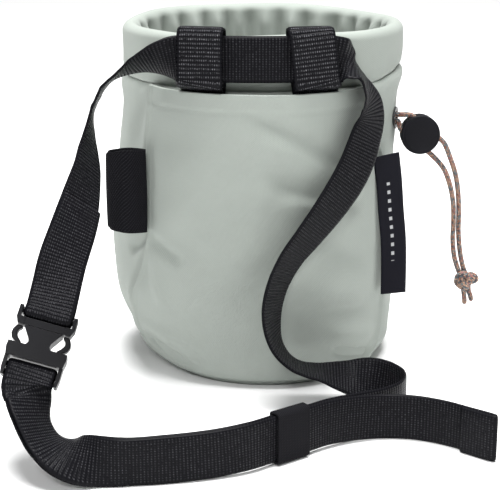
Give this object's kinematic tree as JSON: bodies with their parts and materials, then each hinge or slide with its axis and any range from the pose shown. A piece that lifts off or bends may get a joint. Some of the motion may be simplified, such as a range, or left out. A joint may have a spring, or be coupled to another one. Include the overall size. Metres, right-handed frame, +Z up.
{
  "type": "chalk bag",
  "caption": "Round fabric chalk bag with stiff rim, drawcord closure, rear pocket, brush loop and a webbing belt with side-release buckle, lying buckled in front.",
  "frame": {"origin": "middle of the base panel, on the surface that the bag stands on", "axes": "+Z up out of the bag's mouth, -Y on the side of the belt and the rear pocket, +X on the right of someone who looks at that side, where the drawcord leaves the bag"},
  "size_m": [0.2076, 0.2334, 0.166],
  "materials": {
    "shell_fabric": "matte woven",
    "lining_fleece": "soft fleece",
    "webbing": "ribbed woven",
    "elastic": "fine twill",
    "label_satin": "matte satin",
    "cord_braid": "braided",
    "buckle_plastic": "satin",
    "lock_plastic": "fine grain",
    "hoop_plastic": "plain",
    "spring_steel": "drawn wire"
  },
  "bodies": {
    "bag": {"base_panel": "shell_fabric", "outer_shell": "shell_fabric", "rim_collar": "shell_fabric", "rim_hoop": "hoop_plastic", "closure_skirt": "shell_fabric", "inner_lining": "lining_fleece", "rear_pocket_panel": "shell_fabric", "belt_loop_left": "webbing", "belt_loop_right": "webbing", "buckle_male": "buckle_plastic", "buckle_female": "buckle_plastic", "belt_webbing": "webbing", "brush_loop": "elastic", "side_label": "label_satin", "drawcord_eyelet": "lock_plastic", "drawcord_strand_a": "cord_braid", "drawcord_strand_b": "cord_braid", "drawcord_channel_run": "cord_braid", "drawcord_knot": "cord_braid", "drawcord_end_a": "cord_braid", "drawcord_end_b": "cord_braid"},
    "buckle_arm_left": {"buckle_arm_left": "buckle_plastic"},
    "buckle_arm_right": {"buckle_arm_right": "buckle_plastic"},
    "cord_lock": {"cord_lock_body": "lock_plastic", "cord_lock_spring": "spring_steel"},
    "cord_lock_button": {"cord_lock_button": "lock_plastic"},
    "tail_keeper": {"tail_keeper": "elastic"}
  },
  "joints": [
    {"name": "buckle_arm_left_press", "type": "hinge", "parent": "bag", "child": "buckle_arm_left", "pos_m": [-0.09802, -0.12606, 0.05349], "axis": [0.0958, -0.8331, 0.5448], "range_deg": [0, 7], "stiffness_Nm_per_rad": 0.1},
    {"name": "buckle_arm_right_press", "type": "hinge", "parent": "bag", "child": "buckle_arm_right", "pos_m": [-0.07933, -0.12723, 0.04843], "axis": [0.0958, -0.8331, 0.5448], "range_deg": [-7, 0], "stiffness_Nm_per_rad": 0.1},
    {"name": "cord_lock_slide", "type": "slide", "parent": "bag", "child": "cord_lock", "axis": [0.7688, 0.0103, -0.6394], "range_m": [0, 0.003]},
    {"name": "cord_lock_press", "type": "slide", "parent": "cord_lock", "child": "cord_lock_button", "axis": [-0.0301, 0.9993, -0.0201], "range_m": [0, 0.0012], "stiffness_N_per_m": 800, "deforming": ["cord_lock_spring"]},
    {"name": "tail_keeper_slide", "type": "slide", "parent": "bag", "child": "tail_keeper", "axis": [0.8, 0.6, 0], "range_m": [-0.006, 0.006]}
  ]
}
